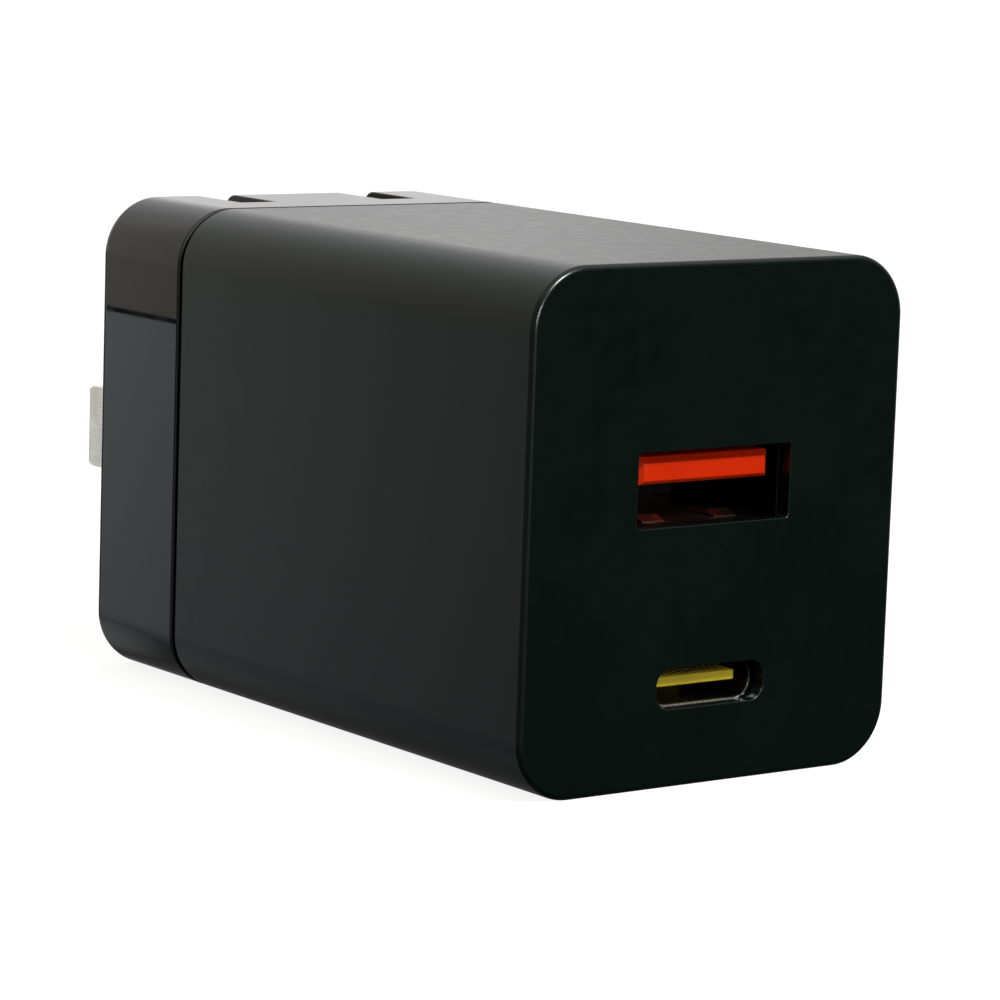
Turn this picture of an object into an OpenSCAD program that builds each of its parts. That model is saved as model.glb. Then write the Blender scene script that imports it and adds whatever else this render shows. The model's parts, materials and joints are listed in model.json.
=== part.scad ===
// Wall charger with two output sockets in front and two mains blades that fold up behind.
// Millimetres. X runs across the body, Y towards the wall and Z up.
// The origin is the middle of the rear face, which lies against the wall.
// At rest the blades are unfolded and point along +Y.

/* [Body] */
// Width across X
body_w = 31.6; // [31.2:0.1:32.5]
// Height along Z
body_h = 35.4; // [35.2:0.1:37]
// Depth from the front face to the rear face
body_d = 54.2; // [54:0.1:56]
// Radius of the four long edges
corner_r = 4.3; // [3.8:0.1:4.6]
// Thickness of the side walls
wall = 1.8; // [1.6:0.1:1.9]
// Thickness of the front wall around the sockets
front_wall = 1.6; // [1.4:0.1:1.8]
// Rounding of the front edge
front_edge_r = 0.4; // [0.2:0.1:0.8]
// Rounding of the rear edge
rear_edge_r = 1.2; // [0.6:0.1:1.5]

/* [Rear cap] */
// Depth of the cap's outer wall
cap_depth = 11.15; // [11:0.05:11.5]
// Width of the groove between cap and housing
groove_w = 0.5; // [0.3:0.1:0.7]
// Depth of that groove below the outer faces
groove_depth = 0.6; // [0.4:0.1:0.8]
// How far the cap's spigot reaches into the housing
spigot_len = 3; // [2:0.5:3.5]

/* [Mains blades] */
// Distance between the two blades
blade_pitch = 12.7; // [12.7:0.1:12.8]
// Width of a blade
blade_w = 6.35; // [6.2:0.05:6.5]
// Thickness of a blade
blade_t = 1.5; // [1.4:0.1:1.6]
// Length that stands out of the rear face
blade_len = 16; // [15:0.5:16]
// Depth of the fold axis behind the rear face
pivot_depth = 3.5; // [3.5:0.05:3.6]
// Height of the fold axis, from mid height
pivot_z = -1.9; // [-2.3:0.1:-1.8]
// Width of the slot that a blade folds into
slot_w = 3; // [2.9:0.1:3.1]

/* [Sockets] */
// Width of the upper opening
port_a_w = 13; // [12.6:0.1:13.2]
// Height of the upper opening
port_a_h = 5.1; // [4.9:0.1:5.3]
// Sideways place of the upper opening's centre
port_a_x = -0.2; // [-0.3:0.1:0.3]
// Height of the upper opening's centre
port_a_z = 2.6; // [2:0.1:3]
// Width of the lower opening
port_c_w = 9.15; // [9:0.05:9.3]
// Height of the lower opening
port_c_h = 2.75; // [2.65:0.05:2.9]
// Radius of the lower opening's corners
port_c_r = 1.1; // [1:0.05:1.2]
// Sideways place of the lower opening's centre
port_c_x = 0.1; // [-0.3:0.1:0.5]
// Height of the lower opening's centre
port_c_z = -10.95; // [-11.2:0.05:-10.6]

/* [Hidden] */
$fn = 64;
eps = 0.1; // how far a cutter runs past the face it opens

// Cavity of the housing
cavity_w = body_w - 2 * wall;
cavity_h = body_h - 2 * wall;
cavity_r = corner_r - wall;
front_in_y = front_wall - body_d; // inner face of the front wall
shell_rear_y = -cap_depth - groove_w; // rear rim of the housing
spigot_y = shell_rear_y - spigot_len; // front rim of the cap's spigot
spigot_t = 1.2;
spigot_gap = 0.05;
spigot_mouth_r = 1.6; // corners of its opening

// Blade wells and their bearing
pivot_y = -pivot_depth;
well_depth = 7;
well_wall = 1.2;
well_floor = 0.8;
well_back_y = -well_depth - well_floor;
well_low_z = pivot_z - 4.7; // lower end of the bearing walls
slot_foot = 0.28; // gap under an unfolded blade
slot_low_z = pivot_z - blade_w / 2 - slot_foot; // lower end of a slot in the rear face
shaft_r = 1.5;
bearing_gap = 0.05; // around the shaft, and beside whatever touches the blades
hub_r = 3.3;
hub_t = slot_w - 0.2;
tail_w = 3;
tail_r = 5.3; // reach of a blade's tail from the fold axis
tail_gap = 0.6; // room around the sweep of the tails
shaft_end = 0.35; // how far the shaft passes the outer well walls
shaft_half = blade_pitch / 2 + slot_w / 2 + well_wall + shaft_end;

// Retainer plate and its screws
plate_y = -10.4; // rear face of the plate
plate_t = 1.2;
boss_x = 10.9;
boss_zs = [-11.6, 11];
boss_r = 1.7;
pilot_r = 0.9;
pilot_end_y = -3;
screw_len = 7;

// Blade contacts
leaf_t = 0.3;
leaf_w = 2.4;
leaf_y = pivot_y - tail_r - bearing_gap; // face that the tail touches
leaf_top_z = pivot_z + 5.6;
leaf_low_z = pivot_z - 2.9;
tab_front_y = -13.4;
lead_r = 0.65; // insulated mains lead
lead_drop_y = -18.2; // where a lead turns down to the main board
lead_bend = 2;

// Boards
board_t = 1.2;
board_top_z = -cavity_h / 2 + 2.1;
board_w = 26;
main_rear_y = -16;
port_board_y = front_in_y + 12.8; // rear face of the port board
port_front_y = port_board_y - board_t;
main_front_y = port_front_y - 2;
port_board_top_z = 14.2;
key_x = 8; // keys of the port board that stand in the main board
key_w = 3;

// Sockets
port_pocket = 0.6; // depth of the pockets in the front wall that take the metal shells
pocket_gap = 0.15; // around a shell in its pocket
pocket_y = front_in_y - port_pocket;
socket_front_y = pocket_y + 0.05;
a_base_y = port_front_y - 0.8; // front of the larger socket's insulator, where a plug ends
c_base_y = port_front_y - 5; // the same for the smaller socket
shell_t = 0.3;
a_shell_w = 13.1;
a_shell_h = 5.75;
a_tongue_w = 11.1;
a_tongue_t = 1.84;
a_tongue_z = port_a_z + 1.1;
a_tongue_y = socket_front_y + 0.05;
c_shell_w = 8.94;
c_shell_h = 3.2;
c_tongue_w = 6.69;
c_tongue_t = 0.7;
c_tongue_z = port_c_z + 0.15;
c_tongue_y = socket_front_y + 0.6;

// Transformer, standing on the main board behind the port board
trafo_x = 4.4;
trafo_y = port_board_y - 0.25 + 6.8;
core_w = 17;
core_d = 9;
core_back = 2.2;
core_leg = 1.9;
core_post_r = 2.6;
core_window = 9.6; // height of the winding window
core_low_z = board_top_z + 1.2;
core_mid_z = core_low_z + core_back + core_window / 2;
pad_t = 0.35; // thermal pad between the core and the heat spreader

// Electrolytic capacitors, lying above the transformer
bulk_r = 4;
bulk_len = 18.8;
bulk_pitch = 9.2;
bulk_z = 9.6;
bulk_front_y = port_board_y + 1.6;
bulk_rear_y = bulk_front_y + bulk_len;

// Toroidal choke, its axis along X
choke_x = -9.2;
choke_y = bulk_rear_y - 5;
choke_z = board_top_z + 5.3;
choke_core = [2.4, 4.3, 4]; // inner radius, outer radius, width
choke_wire = 0.65; // thickness of the winding over the core

// ---------------------------------------------------------------- shapes

// Rectangle with true round corners, centred
module rounded_rect(w, h, r) {
    square([w - 2 * r, h], center = true);
    square([w, h - 2 * r], center = true);
    for (sx = [-1, 1], sz = [-1, 1])
        translate([sx * (w / 2 - r), sz * (h / 2 - r)]) circle(r);
}

// Slot-shaped outline with half-round ends, centred
module stadium(w, h) {
    square([w - h, h], center = true);
    for (side = [-1, 1]) translate([side * (w - h) / 2, 0]) circle(h / 2);
}

// Extrudes an outline drawn as (x, z) from y0 to y1
module along_y(y0, y1) {
    translate([0, y1, 0]) rotate([90, 0, 0]) linear_extrude(y1 - y0) children();
}

// Extrudes an outline drawn as (y, z) from x0 to x1
module along_x(x0, x1) {
    translate([x0, 0, 0]) rotate([90, 0, 90]) linear_extrude(x1 - x0) children();
}

// Block between two corners
module block(low, high) {
    translate(low) cube(high - low);
}

// Round bar along Y
module bar_y(x, y0, y1, z, r) {
    translate([x, y1, z]) rotate([90, 0, 0]) cylinder(r = r, h = y1 - y0);
}

// The last stretch of a rounded bar along Y, rounded over by radius f where it ends.
// dir is 1 where the bar ends towards +Y and -1 where it ends towards -Y.
module round_over(w, h, r, f, y_end, dir) {
    y_mid = y_end - dir * f;
    along_y(min(y_mid, y_end), max(y_mid, y_end)) rounded_rect(w - 2 * f, h - 2 * f, r - f);
    for (side = [-1, 1]) {
        translate([side * (w / 2 - f), y_mid, r - h / 2]) cylinder(r = f, h = h - 2 * r);
        translate([r - w / 2, y_mid, side * (h / 2 - f)])
            rotate([0, 90, 0]) cylinder(r = f, h = w - 2 * r);
    }
    for (turn = [0:3])
        translate([
            (turn == 0 || turn == 3 ? 1 : -1) * (w / 2 - r),
            y_mid,
            (turn < 2 ? 1 : -1) * (h / 2 - r)
        ])
            rotate([0, -90 * turn, 0]) rotate([90, 0, 0])
                rotate_extrude(angle = 90) translate([r - f, 0]) circle(f);
}

// Round wire that runs forward from y0, bends down by a quarter turn and ends at z1
module bent_wire(x, y0, y_drop, z0, z1, r, bend) {
    bar_y(x, y_drop + bend, y0, z0, r);
    translate([x, y_drop + bend, z0 - bend]) rotate([90, 0, 90])
        rotate([0, 0, 90]) rotate_extrude(angle = 90) translate([bend, 0]) circle(r);
    translate([x, y_drop, z1]) cylinder(r = r, h = z0 - bend - z1);
}

// Puts its children at the left blade for -1 and at the right blade for 1
module at_blade(side) {
    translate([side * blade_pitch / 2, 0, 0]) children();
}

// ---------------------------------------------------------------- casing

module housing_shell() {
    color([0.16, 0.17, 0.17]) difference() {
        union() {
            along_y(-body_d + front_edge_r, shell_rear_y) rounded_rect(body_w, body_h, corner_r);
            round_over(body_w, body_h, corner_r, front_edge_r, -body_d, -1);
        }
        difference() {
            along_y(front_in_y, shell_rear_y + eps) rounded_rect(cavity_w, cavity_h, cavity_r);
            housing_ribs();
        }
        translate([port_a_x, 0, port_a_z]) {
            along_y(-body_d - eps, pocket_y + eps) square([port_a_w, port_a_h], center = true);
            along_y(pocket_y, front_in_y + eps)
                square([a_shell_w + 2 * pocket_gap, a_shell_h + 2 * pocket_gap], center = true);
        }
        translate([port_c_x, 0, port_c_z]) {
            along_y(-body_d - eps, pocket_y + eps) rounded_rect(port_c_w, port_c_h, port_c_r);
            along_y(pocket_y, front_in_y + eps)
                stadium(c_shell_w + 2 * pocket_gap, c_shell_h + 2 * pocket_gap);
        }
    }
}

// Ribs inside the housing: two that carry the main board, and rails beside the port board
module housing_ribs() {
    rib_x = 8.6;
    rib_w = 1;
    rail_h = 9;
    rail_w = 0.7;
    rail_gap = 0.1; // between a rail and the board
    rail_in = cavity_w / 2 - 0.65;
    for (side = [-1, 1]) {
        block(
            [side > 0 ? rib_x : -rib_x - rib_w, main_front_y, -cavity_h / 2 - eps],
            [side > 0 ? rib_x + rib_w : -rib_x, main_rear_y, board_top_z - board_t]
        );
        for (y = [port_front_y - rail_gap - rail_w, port_board_y + rail_gap])
            block(
                [side > 0 ? rail_in : -cavity_w / 2 - eps, y, -rail_h],
                [side > 0 ? cavity_w / 2 + eps : -rail_in, y + rail_w, rail_h]
            );
    }
}

module rear_cap() {
    color([0.24, 0.25, 0.25]) difference() {
        union() {
            difference() {
                union() {
                    along_y(-cap_depth, -rear_edge_r) rounded_rect(body_w, body_h, corner_r);
                    round_over(body_w, body_h, corner_r, rear_edge_r, 0, 1);
                }
                along_y(-cap_depth - eps, -wall) rounded_rect(cavity_w, cavity_h, cavity_r);
            }
            cap_spigot();
            for (side = [-1, 1]) at_blade(side)
                block(
                    [-slot_w / 2 - well_wall, well_back_y, well_low_z],
                    [slot_w / 2 + well_wall, -wall + eps, cavity_h / 2 + eps]
                );
            for (side = [-1, 1], z = boss_zs)
                bar_y(side * boss_x, plate_y, -wall + eps, z, boss_r);
        }
        for (side = [-1, 1]) at_blade(side) blade_well();
        for (side = [-1, 1], z = boss_zs) bar_y(side * boss_x, plate_y - eps, pilot_end_y, z, pilot_r);
        // saddles that take the rotor's shaft from the front
        along_x(-shaft_half - eps, shaft_half + eps) {
            translate([pivot_y, pivot_z]) circle(shaft_r + bearing_gap);
            translate([well_back_y - eps, pivot_z - shaft_r - bearing_gap])
                square([pivot_y - well_back_y + eps, 2 * (shaft_r + bearing_gap)]);
        }
    }
}

// Neck at the bottom of the groove, and the spigot that goes into the housing
module cap_spigot() {
    out_w = cavity_w - 2 * spigot_gap;
    out_h = cavity_h - 2 * spigot_gap;
    out_r = cavity_r - spigot_gap;
    difference() {
        union() {
            along_y(shell_rear_y, -cap_depth) rounded_rect(
                body_w - 2 * groove_depth, body_h - 2 * groove_depth, corner_r - groove_depth
            );
            along_y(spigot_y, shell_rear_y) rounded_rect(out_w, out_h, out_r);
        }
        along_y(spigot_y - eps, -cap_depth + eps)
            rounded_rect(out_w - 2 * spigot_t, out_h - 2 * spigot_t, spigot_mouth_r);
    }
}

// Everything cut away for one blade: its slot, and the sweep of its tail behind the rear plate
module blade_well() {
    block([-slot_w / 2, -well_depth, slot_low_z], [slot_w / 2, eps, body_h / 2 + eps]);
    block(
        [-slot_w / 2, well_back_y - eps, pivot_z - tail_r - tail_gap],
        [slot_w / 2, -wall, pivot_z + tail_w / 2 + bearing_gap]
    );
}

// ---------------------------------------------------------------- folding blades

module blade_rotor() {
    color([0.09, 0.09, 0.1]) difference() {
        along_x(-shaft_half, shaft_half) translate([pivot_y, pivot_z]) circle(shaft_r);
        for (side = [-1, 1]) at_blade(side) tail_slot();
    }
    color([0.09, 0.09, 0.1]) for (side = [-1, 1]) at_blade(side) difference() {
        along_x(-hub_t / 2, hub_t / 2) translate([pivot_y, pivot_z]) circle(hub_r);
        tail_slot();
    }
}

// Slot through a hub that the narrow part of a blade fills
module tail_slot() {
    block(
        [-blade_t / 2, pivot_y - hub_r - eps, pivot_z - tail_w / 2],
        [blade_t / 2, pivot_y + hub_r + eps, pivot_z + tail_w / 2]
    );
}

// One blade: a broad tongue with a rounded, chamfered tip, and a narrow tail through the hub
module blade(side) {
    tip_r = 1;
    bevel = 0.35;
    color([0.78, 0.76, 0.72]) at_blade(side) difference() {
        along_x(-blade_t / 2, blade_t / 2) {
            translate([pivot_y, pivot_z]) intersection() {
                circle(tail_r);
                translate([-tail_r, -tail_w / 2]) square([2 * tail_r, tail_w]);
            }
            translate([pivot_y + hub_r, pivot_z - blade_w / 2])
                square([pivot_depth - hub_r + blade_len - tip_r, blade_w]);
            translate([blade_len - tip_r, pivot_z + tip_r - blade_w / 2])
                square([tip_r, blade_w - 2 * tip_r]);
            for (end = [-1, 1])
                translate([blade_len - tip_r, pivot_z + end * (blade_w / 2 - tip_r)]) circle(tip_r);
        }
        for (face = [-1, 1])
            translate([face * blade_t / 2, blade_len, 0]) rotate([0, 0, 45])
                cube([bevel * sqrt(2), bevel * sqrt(2), body_h], center = true);
    }
}

module rotor_retainer() {
    plate_w = 24.4;
    plate_h = 28.4;
    plate_corner_r = 1.6;
    finger_t = 1;
    finger_w = 2.9;
    window = [leaf_w + 0.3, 0.6]; // for a contact's tab or foot
    color([0.12, 0.12, 0.13]) difference() {
        union() {
            along_y(plate_y - plate_t, plate_y) rounded_rect(plate_w, plate_h, plate_corner_r);
            for (side = [-1, 1], wall_side = [-1, 1])
                translate([side * blade_pitch / 2 + wall_side * (slot_w + well_wall) / 2, 0, pivot_z])
                    block(
                        [-finger_t / 2, plate_y - eps, -finger_w / 2],
                        [finger_t / 2, pivot_y, finger_w / 2]
                    );
        }
        along_x(-shaft_half - eps, shaft_half + eps)
            translate([pivot_y, pivot_z]) circle(shaft_r + bearing_gap);
        for (side = [-1, 1], z = boss_zs)
            bar_y(side * boss_x, plate_y - plate_t - eps, plate_y + eps, z, pilot_r + 0.1);
        for (side = [-1, 1], z = [leaf_top_z - leaf_t / 2, leaf_low_z + leaf_t / 2])
            at_blade(side) translate([0, 0, z])
                along_y(plate_y - plate_t - eps, plate_y + eps) square(window, center = true);
    }
}

module retainer_screws() {
    head_y = plate_y - plate_t;
    head_r = 1.5;
    head_t = 0.9;
    recess = [0.4, 1.8]; // width and length of one arm of the cross
    color([0.6, 0.6, 0.62]) for (side = [-1, 1], z = boss_zs) difference() {
        union() {
            bar_y(side * boss_x, head_y - head_t, head_y, z, head_r);
            bar_y(side * boss_x, head_y - eps, plate_y + screw_len - plate_t, z, pilot_r - 0.05);
        }
        for (turn = [0, 90])
            translate([side * boss_x, head_y - head_t, z]) rotate([0, turn, 0])
                cube([recess[0], 1, recess[1]], center = true);
    }
}

// Springy contact: a leaf behind the blade's tail, with a solder tab and a foot through the plate
module blade_contact(side) {
    color([0.85, 0.66, 0.3]) at_blade(side) {
        block([-leaf_w / 2, leaf_y - leaf_t, leaf_low_z], [leaf_w / 2, leaf_y, leaf_top_z]);
        block([-leaf_w / 2, tab_front_y, leaf_top_z - leaf_t], [leaf_w / 2, leaf_y, leaf_top_z]);
        block([-leaf_w / 2, plate_y - 1, leaf_low_z], [leaf_w / 2, leaf_y, leaf_low_z + leaf_t]);
    }
}

// Insulated lead from a contact's tab down to the main board
module mains_lead(side, shade) {
    color(shade) bent_wire(
        side * blade_pitch / 2, tab_front_y + 1.2, lead_drop_y,
        leaf_top_z + lead_r, board_top_z, lead_r, lead_bend
    );
}

// ---------------------------------------------------------------- boards

module main_board() {
    gap = 0.05;
    color([0.07, 0.32, 0.17]) difference() {
        block([-board_w / 2, main_front_y, board_top_z - board_t], [board_w / 2, main_rear_y, board_top_z]);
        for (side = [-1, 1])
            block(
                [side * key_x - key_w / 2 - gap, port_front_y - gap, board_top_z - board_t - eps],
                [side * key_x + key_w / 2 + gap, port_board_y + gap, board_top_z + eps]
            );
    }
}

module port_board() {
    color([0.07, 0.32, 0.17]) {
        block([-board_w / 2, port_front_y, board_top_z], [board_w / 2, port_board_y, port_board_top_z]);
        for (side = [-1, 1])
            block(
                [side * key_x - key_w / 2, port_front_y, board_top_z - board_t],
                [side * key_x + key_w / 2, port_board_y, board_top_z + eps]
            );
    }
}

module insulation_sheet() {
    half = 8.2;
    sheet_t = 0.25;
    low_z = -cavity_h / 2 + 0.15;
    color([0.85, 0.82, 0.7])
        block([-half, main_front_y, low_z], [half, main_rear_y, low_z + sheet_t]);
}

// ---------------------------------------------------------------- sockets

module usb_a_shell() {
    floor_in_z = port_a_z - a_shell_h / 2 + shell_t;
    spring_x = 3.1;
    spring_w = 1.9;
    spring_t = 0.25;
    spring_h = 0.35; // how far a spring stands into the opening
    bend = 0.8; // from a spring's tip to its highest line
    slit = 0.2; // gap beside a spring
    tip_y = socket_front_y + 1.5;
    root_y = tip_y + 4.3;
    color([0.2, 0.2, 0.21]) {
        difference() {
            translate([port_a_x, 0, port_a_z]) along_y(socket_front_y, port_front_y) difference() {
                square([a_shell_w, a_shell_h], center = true);
                square([a_shell_w - 2 * shell_t, a_shell_h - 2 * shell_t], center = true);
            }
            for (side = [-1, 1])
                translate([port_a_x + side * spring_x, 0, floor_in_z]) block(
                    [-spring_w / 2 - slit, tip_y - slit, -2 * shell_t],
                    [spring_w / 2 + slit, root_y, eps]
                );
        }
        // sprung fingers that press on the plug
        for (side = [-1, 1])
            translate([port_a_x + side * spring_x, 0, floor_in_z])
                along_x(-spring_w / 2, spring_w / 2) polygon([
                    [root_y + shell_t, 0], [root_y, 0],
                    [tip_y + bend, spring_h], [tip_y, 0],
                    [tip_y, -spring_t], [tip_y + bend, spring_h - spring_t],
                    [root_y, -spring_t], [root_y + shell_t, -spring_t]
                ]);
    }
}

module usb_a_tongue() {
    half_t = a_tongue_t / 2;
    nose = [0.5, 0.45]; // depth and height of the chamfer on the tongue's upper front edge
    lip = 0.25;
    side_cut = 0.4;
    color([0.92, 0.24, 0.04]) translate([port_a_x, 0, 0]) {
        translate([0, 0, port_a_z]) along_y(a_base_y, port_front_y)
            square([a_shell_w - 2 * shell_t, a_shell_h - 2 * shell_t], center = true);
        intersection() {
            along_x(-a_tongue_w / 2, a_tongue_w / 2) translate([0, a_tongue_z]) polygon([
                [a_tongue_y, -half_t + lip], [a_tongue_y, half_t - nose[1]],
                [a_tongue_y + nose[0], half_t], [a_base_y + eps, half_t],
                [a_base_y + eps, -half_t], [a_tongue_y + lip, -half_t]
            ]);
            translate([0, 0, a_tongue_z - 2]) linear_extrude(4) polygon([
                [side_cut - a_tongue_w / 2, a_tongue_y], [a_tongue_w / 2 - side_cut, a_tongue_y],
                [a_tongue_w / 2, a_tongue_y + side_cut], [a_tongue_w / 2, port_front_y],
                [-a_tongue_w / 2, port_front_y], [-a_tongue_w / 2, a_tongue_y + side_cut]
            ]);
        }
    }
}

// Four strip contacts under the tongue
module usb_a_contacts() {
    strip = [1, 0.15];
    top_z = a_tongue_z - a_tongue_t / 2;
    color([0.9, 0.72, 0.3])
        for (x = [-3.5, -1, 1, 3.5])
            translate([port_a_x + x, 0, top_z]) block(
                [-strip[0] / 2, a_tongue_y + 1, -strip[1]],
                [strip[0] / 2, a_base_y, 0]
            );
}

module usb_c_shell() {
    color([0.62, 0.62, 0.63])
        translate([port_c_x, 0, port_c_z]) along_y(socket_front_y, port_front_y) difference() {
            stadium(c_shell_w, c_shell_h);
            stadium(c_shell_w - 2 * shell_t, c_shell_h - 2 * shell_t);
        }
}

module usb_c_tongue() {
    half_t = c_tongue_t / 2;
    nose = 0.08; // chamfer of the tongue's front edges
    color([0.72, 0.6, 0.14]) translate([port_c_x, 0, 0]) {
        translate([0, 0, port_c_z]) along_y(c_base_y, port_front_y)
            stadium(c_shell_w - 2 * shell_t, c_shell_h - 2 * shell_t);
        along_x(-c_tongue_w / 2, c_tongue_w / 2) translate([0, c_tongue_z]) polygon([
            [c_tongue_y, nose - half_t], [c_tongue_y, half_t - nose], [c_tongue_y + nose, half_t],
            [c_base_y + eps, half_t], [c_base_y + eps, -half_t], [c_tongue_y + nose, -half_t]
        ]);
    }
}

// Two rows of strip contacts, over and under the tongue
module usb_c_contacts() {
    row = 12;
    pitch = 0.5;
    strip = [0.25, 0.05];
    color([0.9, 0.72, 0.3])
        for (i = [0:row - 1], side = [-1, 1])
            translate([
                port_c_x + (i - (row - 1) / 2) * pitch,
                0,
                c_tongue_z + side * (c_tongue_t + strip[1]) / 2
            ])
                block(
                    [-strip[0] / 2, c_tongue_y + 0.5, -strip[1] / 2],
                    [strip[0] / 2, c_base_y, strip[1] / 2]
                );
}

// ---------------------------------------------------------------- transformer

module trafo_place() {
    translate([trafo_x, trafo_y, core_mid_z]) children();
}

// Lower half of the core, from its back plate up to the middle
module core_half() {
    half = core_window / 2;
    block([-core_w / 2, -core_d / 2, -half - core_back], [core_w / 2, core_d / 2, -half]);
    translate([0, 0, -half - eps]) cylinder(r = core_post_r, h = half + eps);
    for (side = [-1, 1])
        block(
            [side > 0 ? core_w / 2 - core_leg : -core_w / 2, -core_d / 2, -half - eps],
            [side > 0 ? core_w / 2 : core_leg - core_w / 2, core_d / 2, 0]
        );
}

module transformer_core_lower() {
    color([0.2, 0.2, 0.22]) trafo_place() core_half();
}

module transformer_core_upper() {
    color([0.2, 0.2, 0.22]) trafo_place() mirror([0, 0, 1]) core_half();
}

module transformer_bobbin() {
    flange_r = 6.3;
    flange_t = 0.7;
    tube_r = core_post_r + 0.6;
    half = core_window / 2 - 0.05;
    cheek_y = [core_d / 2 + 0.1, core_d / 2 + 1.3];
    base_z = -core_window / 2 - core_back - 0.05;
    color([0.1, 0.1, 0.1]) trafo_place() {
        difference() {
            union() {
                translate([0, 0, -half]) cylinder(r = tube_r, h = 2 * half);
                for (z = [-half, half - flange_t]) translate([0, 0, z]) cylinder(r = flange_r, h = flange_t);
            }
            translate([0, 0, -half - eps]) cylinder(r = core_post_r + 0.05, h = 2 * half + 2 * eps);
        }
        for (side = [-1, 1])
            block(
                [-3.5, side > 0 ? cheek_y[0] : -cheek_y[1], base_z],
                [3.5, side > 0 ? cheek_y[1] : -cheek_y[0], -half + flange_t / 2]
            );
        block([-core_w / 2, -cheek_y[1], base_z - 1.15], [core_w / 2, cheek_y[1], base_z]);
    }
}

module trafo_ring(r0, r1) {
    half = core_window / 2 - 0.8;
    trafo_place() translate([0, 0, -half]) difference() {
        cylinder(r = r1, h = 2 * half);
        translate([0, 0, -eps]) cylinder(r = r0, h = 2 * half + 2 * eps);
    }
}

module transformer_winding() {
    color([0.72, 0.36, 0.16]) trafo_ring(3.25, 5.7);
}

module transformer_tape() {
    color([0.93, 0.8, 0.2]) trafo_ring(5.7, 5.95);
}

// ---------------------------------------------------------------- other components

// Electrolytic capacitor lying along Y, with its two legs bent down to the main board
module bulk_capacitor(place) {
    x = place * bulk_pitch;
    leg_y = bulk_rear_y + 2.4;
    leg_x = 1.5;
    leg_r = 0.3;
    leg_bend = 0.8;
    color([0.12, 0.13, 0.2]) {
        translate([x, bulk_rear_y, bulk_z]) rotate([90, 0, 0]) rotate_extrude()
            polygon([
                [0, 0], [bulk_r - 0.4, 0], [bulk_r, 0.4], [bulk_r, 1.2], [bulk_r - 0.3, 1.6],
                [bulk_r, 2], [bulk_r, bulk_len - 0.3], [bulk_r - 0.3, bulk_len], [0, bulk_len]
            ]);
        for (side = [-1, 1])
            mirror([0, 1, 0]) bent_wire(
                x + side * leg_x, eps - bulk_rear_y, -leg_y, bulk_z, board_top_z, leg_r, leg_bend
            );
    }
}

// Polymer capacitor standing behind the port board
module output_capacitor() {
    can_r = 3.15;
    can_h = 9;
    color([0.75, 0.75, 0.77]) translate([-9.2, port_board_y + 4, board_top_z]) rotate_extrude()
        polygon([
            [0, 0], [can_r, 0], [can_r, 1], [can_r - 0.25, 1.4], [can_r, 1.8],
            [can_r, can_h - 0.4], [can_r - 0.4, can_h], [0, can_h]
        ]);
}

// Film capacitor, a moulded box behind the transformer
module x_capacitor() {
    size = [9, 4.6, 10.5];
    color([0.86, 0.8, 0.3]) translate([-3.6, bulk_rear_y - 6.5, board_top_z]) cube(size);
}

// Disc capacitor standing across X on two legs
module y_capacitor() {
    x = -9.2;
    y0 = port_board_y + 7.4;
    disc_r = 3.5;
    disc_t = 2.6;
    disc_z = board_top_z + disc_r + 0.6;
    color([0.2, 0.35, 0.65]) {
        bar_y(x, y0, y0 + disc_t, disc_z, disc_r);
        for (side = [-1, 1])
            translate([x + side * 2.3, y0 + disc_t / 2, board_top_z]) cylinder(r = 0.3, h = disc_r);
    }
}

module choke_place() {
    translate([choke_x, choke_y, choke_z]) rotate([0, 90, 0]) children();
}

module choke_core() {
    color([0.25, 0.3, 0.27]) choke_place() translate([0, 0, -choke_core[2] / 2]) difference() {
        cylinder(r = choke_core[1], h = choke_core[2]);
        translate([0, 0, -eps]) cylinder(r = choke_core[0], h = choke_core[2] + 2 * eps);
    }
}

// Two windings, each a sleeve around a third of the ring
module choke_winding() {
    ring = choke_core[1] - choke_core[0];
    color([0.72, 0.36, 0.16]) choke_place() for (turn = [30, 210]) rotate([0, 0, turn])
        rotate_extrude(angle = 120) translate([(choke_core[0] + choke_core[1]) / 2, 0]) difference() {
            square([ring + 2 * choke_wire, choke_core[2] + 2 * choke_wire], center = true);
            square([ring, choke_core[2]], center = true);
        }
}

module fuse() {
    body_r = 1.3;
    body_l = 6;
    cap_r = 1.4;
    color([0.8, 0.85, 0.8]) translate([-body_l / 2, bulk_rear_y + 0.5, board_top_z + cap_r + 0.1])
        rotate([0, 90, 0]) {
            cylinder(r = body_r, h = body_l);
            for (z = [-0.5, body_l - 1]) translate([0, 0, z]) cylinder(r = cap_r, h = 1.5);
        }
}

// Flat moulded package with legs on two opposite sides; size is its body
module chip(size, legs, leg_w) {
    lift = 0.1;
    leg_len = 0.6;
    foot_len = 0.3;
    half = [size[0] / 2, size[1] / 2];
    block([-half[0], -half[1], lift], [half[0], half[1], size[2]]);
    for (i = [0:legs - 1], side = [-1, 1]) {
        x = (i - (legs - 1) / 2) * size[0] / legs;
        block(
            [x - leg_w / 2, side > 0 ? half[1] - eps : -half[1] - leg_len, lift],
            [x + leg_w / 2, side > 0 ? half[1] + leg_len : eps - half[1], size[2] / 2]
        );
        block(
            [x - leg_w / 2, side > 0 ? half[1] + leg_len - foot_len : -half[1] - leg_len, 0],
            [x + leg_w / 2, side > 0 ? half[1] + leg_len : foot_len - half[1] - leg_len, 2 * lift]
        );
    }
}

module bridge_rectifier() {
    color([0.1, 0.1, 0.11])
        translate([10.4, bulk_rear_y - 0.2, board_top_z]) chip([4.4, 2, 1.5], 2, 0.7);
}

module power_switch() {
    color([0.1, 0.1, 0.11])
        translate([9.4, bulk_rear_y - 5.2, board_top_z]) chip([6, 4.4, 2.2], 3, 0.9);
}

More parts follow.
